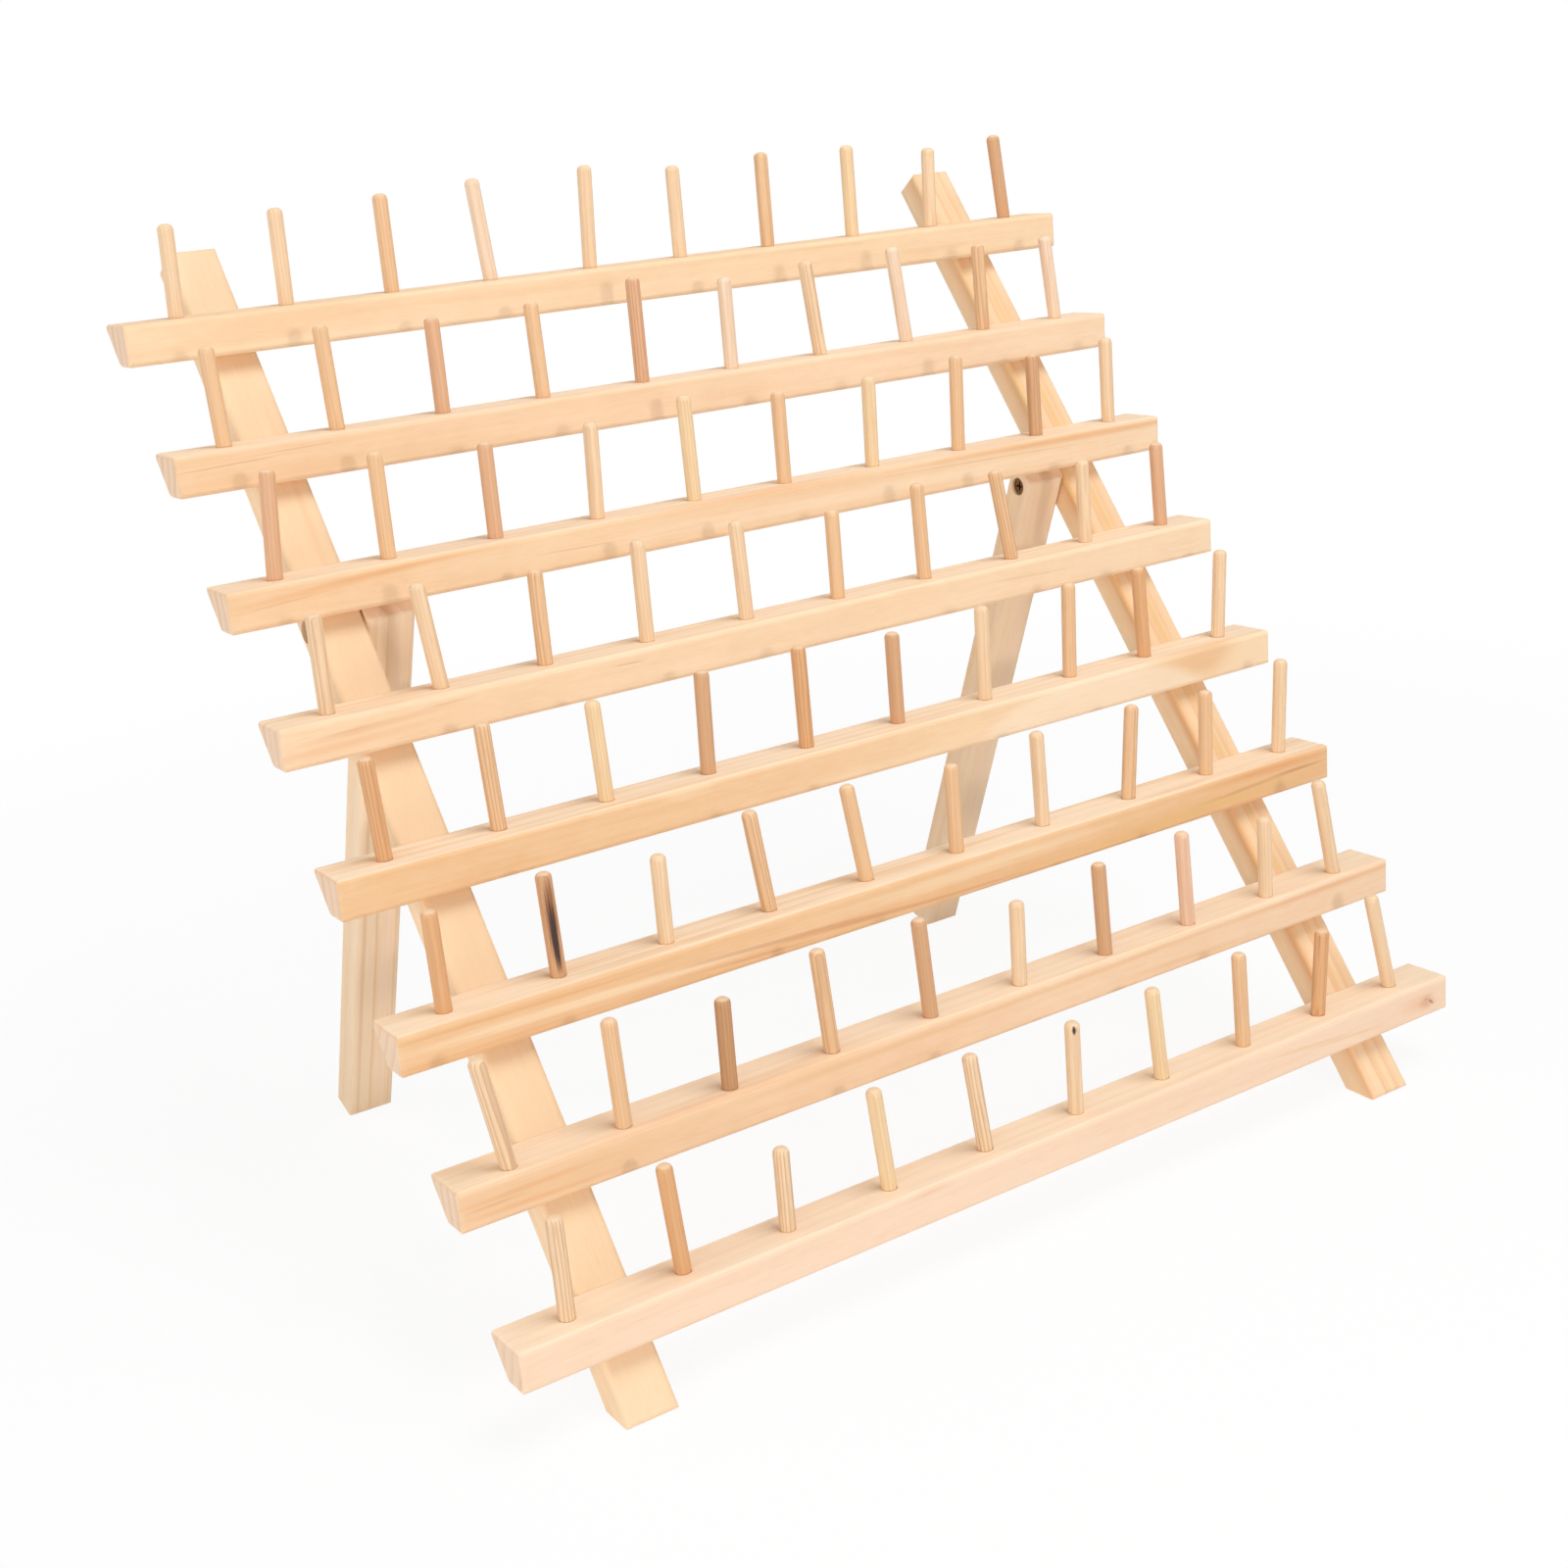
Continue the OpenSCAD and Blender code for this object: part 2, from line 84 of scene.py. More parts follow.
# Marks in the fronts: colour, mm along from the middle, mm below the top edge (on posts and legs, mm to the
# right of the middle), half length, half height, fall along the length, strength, how sharp the edge is.
RAIL_MARKS = {
    1: (("honey", 90, 2.5, 34, 1.2, 0.01, 0.35, 0.2), ("honey", 160, 9, 40, 1.5, -0.02, 0.30, 0.2),
        ("pale", -150, 13, 70, 3.5, 0.0, 0.5, 0.2), ("honey", -60, 5, 120, 3.0, 0.01, 0.30, 0.2)),
    2: (("honey", -185, 11, 60, 4.0, -0.02, 0.45, 0.2), ("heart", -205, 5.5, 30, 0.5, -0.03, 0.36, 0.3),
        ("heart", -180, 3.5, 26, 0.4, -0.02, 0.28, 0.3), ("honey", 120, 4, 60, 2.0, 0.02, 0.25, 0.2)),
    3: (("amber", -186, 4.2, 60, 2.2, -0.06, 0.42, 0.1), ("amber", -150, 2.2, 60, 1.5, -0.03, 0.42, 0.1),
        ("heart", -205, 7.0, 26, 0.6, -0.06, 0.26, 0.3), ("amber", 165, 2.0, 120, 2.6, 0.012, 0.58, 0.2),
        ("amber", 0, 0.6, 90, 1.4, 0.0, 0.50, 0.2), ("heart", 120, 4.6, 80, 0.5, 0.02, 0.26, 0.3),
        ("heart", -82, 8.2, 22, 0.5, 0.02, 0.32, 0.3), ("cream", 60, 9, 170, 3.6, 0.0, 0.6, 0.2)),
    4: (("heart", -198, 5.2, 24, 0.9, -0.04, 0.26, 0.1), ("amber", -188, 5.8, 44, 1.8, -0.04, 0.36, 0.1),
        ("heart", -160, 3.6, 16, 0.7, -0.03, 0.28, 0.1), ("amber", -205, 10, 46, 2.2, -0.03, 0.32, 0.1),
        ("heart", -84, 4.6, 9, 0.5, 0.02, 0.36, 0.3), ("honey", 56, 1.2, 16, 0.6, 0.02, 0.45, 0.3),
        ("honey", 115, 6.5, 34, 0.9, 0.03, 0.45, 0.3)),
    5: (("honey", 188, 5, 46, 12.0, 0.0, 0.80, 0.2), ("cream", 120, 16.5, 64, 17.6, 0.0, 0.80, 0.86),
        ("pale", 262, 60, 87, 87, 0.0, 0.90, 0.88), ("pale", -84, 0.0, 15, 6.0, 0.06, 0.45, 0.4),
        ("pale", 0, 12, 90, 3.5, 0.0, 0.30, 0.1)),
    6: (("honey", -170, 2.4, 115, 2.8, 0.004, 0.60, 0.3), ("amber", -185, 3.4, 80, 0.9, 0.01, 0.45, 0.3),
        ("pale", -150, 8.2, 96, 2.6, 0.01, 0.85, 0.3), ("amber", -190, 13.2, 80, 1.8, 0.0, 0.40, 0.3),
        ("heart", -62, 9.4, 84, 1.3, 0.036, 0.52, 0.2), ("heart", -18, 11.8, 66, 1.1, 0.026, 0.50, 0.2),
        ("heart", -80, 12.2, 34, 0.8, 0.03, 0.40, 0.2), ("heart", 34, 12.8, 30, 0.9, 0.02, 0.34, 0.1),
        ("heart", 80, 14.2, 60, 0.9, 0.0, 0.34, 0.1), ("pale", 20, 5.6, 100, 3.6, -0.01, 0.60, 0.1),
        ("amber", 190, 2.6, 60, 3.2, 0.01, 0.75, 0.1), ("ochre", 140, 10.5, 120, 4.4, -0.02, 0.70, 0.1),
        ("heart", 172, 8.0, 40, 1.2, -0.03, 0.42, 0.1), ("heart", 205, 6.4, 22, 1.0, -0.02, 0.72, 0.1)),
    7: (("honey", -185, 8, 80, 7.0, 0.0, 0.45, 0.1), ("amber", -200, 6.0, 44, 1.6, -0.01, 0.40, 0.1),
        ("amber", -196, 11.5, 46, 1.8, 0.01, 0.44, 0.1), ("heart", -212, 8.2, 16, 0.9, 0.0, 0.30, 0.1),
        ("honey", -60, 3.8, 90, 1.8, -0.004, 0.55, 0.1), ("honey", 60, 3.4, 120, 1.6, -0.005, 0.60, 0.1),
        ("amber", -120, 0.4, 110, 1.2, 0.0, 0.40, 0.1), ("amber", 190, 3.0, 80, 2.2, -0.008, 0.48, 0.1),
        ("honey", 105, 11.5, 60, 1.8, 0.03, 0.45, 0.1)),
    8: (("grey", -56, 1.8, 17, 1.9, -0.02, 0.40, 0.1), ("honey", 140, 6.5, 36, 0.9, 0.07, 0.45, 0.2),
        ("honey", 165, 9.5, 32, 0.9, 0.06, 0.45, 0.2), ("amber", 208, 8.2, 16, 5.5, 0.1, 0.34, 0.1),
        ("heart", 212, 8.4, 6.5, 4.0, 0.1, 0.42, 0.2), ("knot", 214.5, 9.0, 2.6, 0.7, 0.9, 0.70, 0.3),
        ("knot", 211.5, 7.0, 2.2, 0.4, -0.2, 0.50, 0.3)),
}
POST_MARKS = {
    "post_left": (
        ("straw", 0, 0, 400, 40, 0.0, 0.80, 0.2), ("amber", 120, 4, 60, 2.0, 0.02, 0.20, 0.2)),
    # On this post the ochre 11.5 mm left of the middle and the heart beside it darken the left edge and the
    # inner left side along the whole length
    "post_right": (
        ("straw", 0, 0, 400, 40, 0.0, 0.70, 0.2), ("ochre", 0, 0.5, 320, 2.8, 0.004, 0.80, 0.2),
        ("ochre", 0, -11.5, 400, 5.0, 0.0, 0.95, 0.2), ("straw", 120, -12, 180, 1.6, 0.0, 0.6, 0.2),
        ("heart", -110, -10.8, 230, 2.6, 0.0, 0.50, 0.2)),
}
LEG_MARKS = {
    "rear_leg_left": (
        ("cream", 0, 0, 400, 40, 0.0, 0.50, 0.2), ("grey", 0, -6.5, 220, 1.1, 0.002, 0.50, 0.2),
        ("grey", 0, -1.0, 220, 0.8, -0.002, 0.45, 0.2), ("blush", 0, 3.5, 220, 2.4, 0.0, 0.80, 0.2),
        ("grey", -20, 8.0, 200, 0.9, 0.003, 0.45, 0.2)),
    "rear_leg_right": (
        ("cream", 0, 0, 400, 40, 0.0, 0.50, 0.2), ("grey", 0, -9.5, 220, 2.6, 0.0, 0.15, 0.2),
        ("blush", 0, 3, 220, 5.0, 0.0, 0.50, 0.2)),
}
MARK_DEPTH = 9  # how far a mark reaches into its board, in mm
MARK_EDGE = 1.05  # where a mark has faded out, counted in its own half size
BOARD_SPAN = 450  # length over which the honey goes from one end's share to the other's, in mm

# Noise in the pine: spread along, across and inwards (mm), step of the seed, detail, roughness.
PINE_NOISE = {
    "wander": ((190, 45, 45), 0, 1.0, 0.5),
    "ripple": ((38, 6, 6), 3, 2.0, 0.5),
    "fibre": ((17, 0.42, 0.42), 11, 3.0, 0.65),
    "band": ((120, 2.2, 2.2), 19, 2.0, 0.5),
    "cloud": ((95, 12, 12), 15, 2.0, 0.5),
    "mottle": ((8, 2.4, 2.4), 23, 3.0, 0.6),
}
WANDER = 6.0  # range over which the rings wander and ripple, in mm
RIPPLE = 1.1
PINE_ROUGH = (0.55, 0.68)

# Tone of each peg by its letter. A capital has strong lines, k has one black streak, and n has a small knot
# near its tip.
PEG_WOODS = {
    "w": "white", "p": "pale", "s": "straw", "h": "honey", "a": "amber", "r": "red", "b": "brown",
    "d": "dark", "q": "pink", "k": "brown", "n": "pale",
}
PEG_TONES = (
    "pphwppHspb",
    "hhrhRwPwHw",
    "rhrpshshBp",
    "PpHpphhHpr",
    "AHsbAbphap",
    "akpHhhpHhp",
    "PhDHbpbqpp",
    "PaPsPnshAp",
)
# Marks on single pegs: place from the foot of the peg and half size (mm), the extra that shows it, colour.
PEG_MARKS = (
    ((-0.6, -2.6, 30), (2.4, 3, 21), 1, "stain"),
    ((-0.5, -2.6, 25), (1.5, 2.4, 14), 1, "black"),
    ((-1.2, -2.6, 43.3), (0.9, 1.5, 2.0), 2, "black"),
)
STRONG_LINES = 1.0
FINE_LINES = 0.42
LINE_SHARE = 0.38  # share of the streak colour in a strong line
PEG_GAP = 0.015  # pegs of a row stand further apart than this, in metres
PEG_FOOT = 0.001  # height of the parts of a peg that are measured for its foot and its top, in metres
PEG_TOP = 0.003
PEG_ASIDE = 0.02  # widest range of a peg's place in metres, and of its slopes, that a colour holds
PEG_SLOPE = 0.6
PEG_SEED = 7.31  # step of the seed from peg to peg, and from row to row
ROW_SEED = 91.7
DOWEL_ROUGH = (0.5, 0.62)
DOWEL_RELIEF = 0.00004

BRONZE_ROUGH = 0.34
ZINC_ROUGH = 0.3
METAL_DULL = 0.2  # how much rougher the metal is under its film
METAL_RELIEF = 0.00003

# Lamps: degrees to the right of the front, degrees up, distance and width in metres.
LAMPS = {
    "high": (26, 66, 1.4, 0.9),
    "front": (-3, 13, 1.6, 0.14),
    "side": (-58, 6, 1.6, 0.9),
    "back": (-118, 24, 1.6, 0.9),
}
SENSOR_WIDTH = 36
FLOOR_HALF = 30  # half the width of the floor, in metres
GLOW_NEAR = (0.3, 0.90)  # distance from the rack in metres, and share of plain white there
GLOW_FAR = (1.0, 1.0)


def paint(red, green, blue):
    """A colour as a screen shows it, 0 to 255, as the linear colour that a socket takes."""
    shares = (red / 255, green / 255, blue / 255)
    return tuple(((c + 0.055) / 1.055) ** 2.4 if c > 0.04 else c / 12.92 for c in shares)


def colour(name, description, *shade):
    """A colour that a user can change."""
    return FloatVectorProperty(
        name=name, description=description, subtype="COLOR", size=3, min=0, max=1, default=paint(*shade))


class RackPine(bpy.types.PropertyGroup):
    """Wood of the rails, posts and rear legs."""

    pale: colour("Spring wood", "Palest wood between the ring lines", 251, 222, 184)
    honey: colour("Summer wood", "Warmer wood of some boards and streaks", 236, 190, 140)
    blush: colour("Blush", "Pinkish wood of some boards", 249, 217, 189)
    amber: colour("Amber", "Ring lines, fibres and orange streaks", 230, 166, 108)
    ochre: colour("Ochre", "Yellowish streaks", 234, 192, 130)
    grey: colour("Grey", "Greyish streaks", 226, 184, 142)
    heart: colour("Heartwood", "Reddish brown of dark streaks", 202, 138, 92)
    straw: colour("Straw", "Creamy wood of the posts", 237, 202, 161)
    # Laid on the faces turned up, this colour is partly painted light as well as the wood's own tone
    cream: colour("Cream", "Paler wood of the legs and the tops of the rails", 252, 228, 198)
    knot: colour("Knot", "Eye of a knot", 140, 88, 62)
    sawn: colour("Sawn ends", "Wood seen end on", 243, 211, 181)
    sawn_line: colour("Sawn ring lines", "Ring lines seen end on", 217, 171, 131)
    ring: FloatProperty(
        name="Ring spacing", description="Distance from one ring line to the next",
        unit="LENGTH", min=0.001, max=0.02, default=0.0056)
    relief: FloatProperty(
        name="Relief", description="Height of the ring lines above the wood between them",
        unit="LENGTH", min=0, max=0.001, default=0.00005)


class RackDowel(bpy.types.PropertyGroup):
    """Wood of the pegs."""

    white: colour("White dowel", "Colour of the whitest pegs", 246, 219, 190)
    pale: colour("Pale dowel", "Colour of the pale pegs", 244, 212, 173)
    straw: colour("Straw dowel", "Colour of the yellowish pegs", 244, 214, 169)
    honey: colour("Honey dowel", "Colour of the tan pegs", 236, 194, 149)
    amber: colour("Amber dowel", "Colour of the orange pegs", 226, 172, 121)
    red: colour("Red dowel", "Colour of the reddish pegs", 226, 177, 138)
    brown: colour("Brown dowel", "Colour of the brown pegs", 215, 167, 125)
    dark: colour("Dark dowel", "Colour of the darkest pegs", 195, 147, 103)
    pink: colour("Pink dowel", "Colour of the pinkish pegs", 240, 198, 167)
    streak: colour("Lines", "Colour of the fine lines along a peg", 168, 108, 66)
    stain: colour("Stain", "Colour of the stain round a black streak", 150, 98, 62)
    black: colour("Black streak", "Colour of a black streak and a small knot", 58, 36, 28)
    tip: colour("Tips", "Colour of the turned end grain", 242, 213, 178)
    ring: FloatProperty(
        name="Line spacing", description="Distance between the lines along a peg",
        unit="LENGTH", min=0.0003, max=0.006, default=0.0013)


class RackMetal(bpy.types.PropertyGroup):
    """Metal of the pivots and screws."""

    bronze: colour("Pivot metal", "Colour of the pivot bolts and nuts", 122, 86, 56)
    zinc: colour("Screw metal", "Colour of the rail screws", 186, 188, 190)


class RackStage(bpy.types.PropertyGroup):
    """Camera, floor and light."""

    eye: FloatVectorProperty(
        name="Camera place", description="Where the camera stands",
        subtype="XYZ", unit="LENGTH", size=3, default=(-0.47223, -0.70776, 0.43178))
    turn: FloatProperty(
        name="Turn", description="Turn of the camera about the upright",
        subtype="ANGLE", default=math.radians(-32.868))
    tip: FloatProperty(
        name="Tip", description="Tip of the camera, a right angle being level",
        subtype="ANGLE", default=math.radians(71.481))
    roll: FloatProperty(
        name="Roll", description="Roll of the camera about its own line of sight",
        subtype="ANGLE", default=math.radians(-3.884))
    lens: FloatProperty(
        name="Lens", description="Length of the lens on a 36 mm sensor",
        subtype="DISTANCE_CAMERA", min=10, max=300, default=49.68)
    room: FloatProperty(
        name="Room light", description="Strength of the white room",
        min=0, max=2, default=0.32)
    high: FloatProperty(
        name="High lamp", description="Power of the large soft lamp above the front",
        unit="POWER", min=0, max=100, default=11.5)
    front: FloatProperty(
        name="Front lamp", description="Power of the smaller lamp in front",
        unit="POWER", min=0, max=100, default=4.1)
    side: FloatProperty(
        name="Side lamp", description="Power of the soft lamp at the left",
        unit="POWER", min=0, max=100, default=6.6)
    back: FloatProperty(
        name="Back lamp", description="Power of the soft lamp behind the left side",
        unit="POWER", min=0, max=100, default=4.0)
    floor: FloatVectorProperty(
        name="Floor", description="Colour of the floor",
        subtype="COLOR", size=3, min=0, max=1, default=(0.97, 0.97, 0.97))


class Finish:
    """A material whose nodes are added one after another."""

    def __init__(self, name):
        self.material = bpy.data.materials.new(name)
        self.material.use_nodes = True
        self.tree = self.material.node_tree
        self.tree.nodes.clear()
        self.place = self.add("TexCoord", out="Object")
        self.facing = self.place.node.outputs["Normal"]

    def add(self, kind, inputs=None, out=0, **options):
        """Adds a node, fills the inputs that are named or numbered, and gives one output."""
        node = self.tree.nodes.new("ShaderNode" + kind)
        for option, value in options.items():
            setattr(node, option, value)
        for key, value in (inputs or {}).items():
            self.fill(node.inputs[key], value)
        return node.outputs[out] if node.outputs else node

    def fill(self, socket, value):
        """Links an output to a socket, or sets the socket's own value."""
        if isinstance(value, bpy.types.NodeSocket):
            self.tree.links.new(value, socket)
        elif socket.type == "RGBA":
            socket.default_value = (*value[:3], 1)
        else:
            socket.default_value = value

    def math(self, operation, *values):
        return self.add("Math", dict(enumerate(values)), operation=operation)

    def vector(self, operation, *values, out=0):
        return self.add("VectorMath", dict(enumerate(values)), out, operation=operation)

    def point(self, x, y, z):
        return self.add("CombineXYZ", {0: x, 1: y, 2: z})

    def along(self, vector, axis):
        """Length of a vector along an axis."""
        return self.vector("DOT_PRODUCT", vector, tuple(axis), out="Value")

    def noise(self, point, spread, seed, detail=1.0, rough=0.5):
        """Noise about zero, from -0.5 to 0.5, with blots of the given spread."""
        cells = self.vector("DIVIDE", point, spread)
        inputs = {"Vector": cells, "W": seed, "Scale": 1.0, "Detail": detail, "Roughness": rough}
        made = self.add("TexNoise", inputs, "Fac", noise_dimensions="4D")
        return self.math("SUBTRACT", made, 0.5)

    def chance(self, value):
        """An even chance from 0 to 1 that a value fixes."""
        return self.add("TexWhiteNoise", {"W": value}, "Value", noise_dimensions="1D")

    def fade(self, value, start, end, low=0.0, high=1.0):
        """Goes smoothly from low at start to high at end."""
        inputs = {"Value": value, "From Min": start, "From Max": end, "To Min": low, "To Max": high}
        return self.add("MapRange", inputs, interpolation_type="SMOOTHSTEP")

    def blend(self, share, first, second):
        """Mixes a share of the second colour into the first."""
        return self.add("Mix", {0: share, 6: first, 7: second}, 2, data_type="RGBA")

    def egg(self, point, place, size, turn=0.0):
        """How far a point lies from the middle of an egg-shaped mark: 0 there, 1 at its edge."""
        inputs = {"Vector": point, "Location": place, "Rotation": (0, 0, turn), "Scale": size}
        inside = self.add("Mapping", inputs, vector_type="TEXTURE")
        return self.vector("LENGTH", inside, out="Value")

    def steps(self, value, colours):
        """One colour for each equal step of a value from 0 to 1."""
        made = self.add("ValToRGB", {0: value})
        ramp = made.node.color_ramp
        ramp.interpolation = "CONSTANT"
        while len(ramp.elements) < len(colours):
            ramp.elements.new(1.0)
        for number, (stop, shade) in enumerate(zip(ramp.elements, colours)):
            stop.position = number / len(colours)
            stop.color = (*shade[:3], 1)
        return made

    def close(self, tone, rough, height, relief, **fixed):
        """Joins colour, roughness and height in the surface, with the values that are the same all over."""
        bump = self.add("Bump", {"Strength": 1.0, "Distance": relief, "Height": height})
        inputs = {"Base Color": tone, "Roughness": rough, "Normal": bump, **fixed}
        self.add("OutputMaterial", {"Surface": self.add("BsdfPrincipled", inputs)})
        return self.material


def dress(node, material):
    """Puts one material in all the slots of a CAD node."""
    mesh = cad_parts[node].data
    mesh.materials.clear()
    mesh.materials.append(material)


def middle_of(node):
    low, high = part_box(node)
    return (low + high) / 2


def ring_lines(f, spacing, spot, heart, seed):
    """Lines of the rings round the heart of the tree, each with its own strength."""
    across = f.vector("MULTIPLY", f.vector("SUBTRACT", spot, heart), (0, 1, 1))
    reach = f.vector("LENGTH", across, out="Value")
    count = f.math("ADD", f.math("DIVIDE", reach, spacing), seed)
    part = f.math("FRACT", count)
    rise = f.math("POWER", f.fade(part, 0.15, 0.93), 2.4)
    line = f.math("MULTIPLY", rise, f.fade(part, 0.94, 1.0, 1.0, 0.0))
    strength = f.math("MULTIPLY_ADD", f.chance(f.math("FLOOR", count)), 0.6, 0.4)
    return f.math("MULTIPLY", line, strength)


def pine(name, look, board, marks, corner, run, side, deep):
    """Pine with rings round a heart that lies outside the board.

    Places in the board count from the corner: run is the way along it, side the way across its front and deep
    the way in.
    """
    near_end, far_end, blush, cream, front_lines, edge_lines, behind, beside, seed = board
    f = Finish(name)
    spot = f.vector("SUBTRACT", f.place, tuple(corner))
    spot = f.point(*(f.along(spot, axis * MM) for axis in (run, side, deep)))
    grain = {kind: f.noise(spot, spread, seed + step, detail, rough)
             for kind, (spread, step, detail, rough) in PINE_NOISE.items()}
    fibre, band, cloud = grain["fibre"], grain["band"], grain["cloud"]
    wander = f.math("MULTIPLY", grain["wander"], WANDER)
    ripple = f.math("MULTIPLY", grain["ripple"], RIPPLE)
    moved = f.vector("ADD", spot, f.point(0.0, ripple, f.math("ADD", wander, ripple)))
    line = ring_lines(f, look.ring * MM, moved, (0, beside, behind), seed)

    # Plain wood, warmer towards one end, and paler where it faces up (left on posts and legs): partly wood
    # tone, partly painted light
    part_along = f.math("ADD", f.along(spot, (1 / BOARD_SPAN, 0, 0)), 0.5)
    blots = f.math("MULTIPLY_ADD", grain["mottle"], 0.5, f.math("MULTIPLY", cloud, 0.6))
    warm = f.math("ADD", f.fade(part_along, 0.0, 1.0, near_end, far_end), blots)
    tone = f.blend(blush, look.pale, look.blush)
    tone = f.blend(f.math("MULTIPLY_ADD", band, 0.5, warm), tone, look.honey)
    # Painted light: faces turned up on rails, and turned left on posts and legs, get a share of the paler
    # cream
    top = f.fade(f.along(f.facing, -side), 0.6, 0.9, 0.0, cream)
    broken = f.fade(f.math("ADD", band, cloud), -0.05, 0.2, 1.0, 0.45)
    tone = f.blend(f.math("MULTIPLY", top, broken), tone, look.cream)

    # Streaks and knots with ragged edges
    ragged = f.math("MULTIPLY_ADD", fibre, 0.7, f.math("MULTIPLY", band, 0.8))
    for shade, at, down, half_long, half_high, fall, strength, sharp in marks:
        inside = f.egg(moved, (at, down, 0), (half_long, half_high, MARK_DEPTH), math.atan(fall))
        uneven = f.math("MULTIPLY_ADD", ragged, 1.0 - sharp, inside)
        tone = f.blend(f.fade(uneven, MARK_EDGE, sharp, 0.0, strength), tone, getattr(look, shade))

    # Ring lines, fibres and sawn ends
    front = f.math("ABSOLUTE", f.along(f.facing, deep))
    shown = f.fade(front, 0.3, 0.8, edge_lines, front_lines)
    tone = f.blend(f.math("MULTIPLY", line, shown), tone, look.amber)
    tone = f.blend(f.fade(fibre, 0.0, 0.30, 0.0, 0.30), tone, look.amber)
    end = f.fade(f.math("ABSOLUTE", f.along(f.facing, run)), 0.72, 0.95)
    sawn = f.blend(f.math("MULTIPLY", line, 0.6), look.sawn, look.sawn_line)
    tone = f.blend(end, tone, sawn)
    rough = f.fade(fibre, -0.3, 0.3, *PINE_ROUGH)
    return f.close(tone, rough, f.math("MULTIPLY_ADD", line, 0.5, fibre), look.relief)


def peg_places(row):
    """Foot and top of each peg of a row, measured on its mesh, from left to right."""
    spots = sorted(tuple(v.co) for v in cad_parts[f"pegs_row_{row}"].data.vertices)
    groups = [[spots[0]]]
    for spot in spots[1:]:
        if spot[0] - groups[-1][-1][0] > PEG_GAP:
            groups.append([])
        groups[-1].append(spot)
    if len(groups) != PEGS:
        raise RuntimeError(f"row {row} has {len(groups)} pegs and not {PEGS}")
    places = []
    for group in groups:
        floor, roof = min(s[2] for s in group), max(s[2] for s in group)
        ends = []
        for low, high in ((floor, floor + PEG_FOOT), (roof - PEG_TOP, roof)):
            near = [s for s in group if low <= s[2] <= high]
            ends.append(Vector([(min(s[a] for s in near) + max(s[a] for s in near)) / 2 for a in range(3)]))
        places.append(ends)
    return places


def peg_facts(row, look, places, pitch):
    """Three colours for each peg: its place and slopes, its tone, and its lines and marks."""
    leans, tones, extras = [], [], []
    for number, (foot, top) in enumerate(places):
        rise = top.z - foot.z
        aside = foot.x - places[0][0].x - pitch * number
        leans.append((aside / PEG_ASIDE + 0.5,
                      (top.x - foot.x) / rise / PEG_SLOPE + 0.5,
                      (top.y - foot.y) / rise / PEG_SLOPE + 0.5))
        kind = PEG_TONES[row - 1][number]
        tones.append(tuple(getattr(look, PEG_WOODS[kind.lower()])))
        lines = STRONG_LINES if kind.isupper() or kind == "k" else FINE_LINES
        extras.append((lines, float(kind == "k"), float(kind == "n")))
    return leans, tones, extras


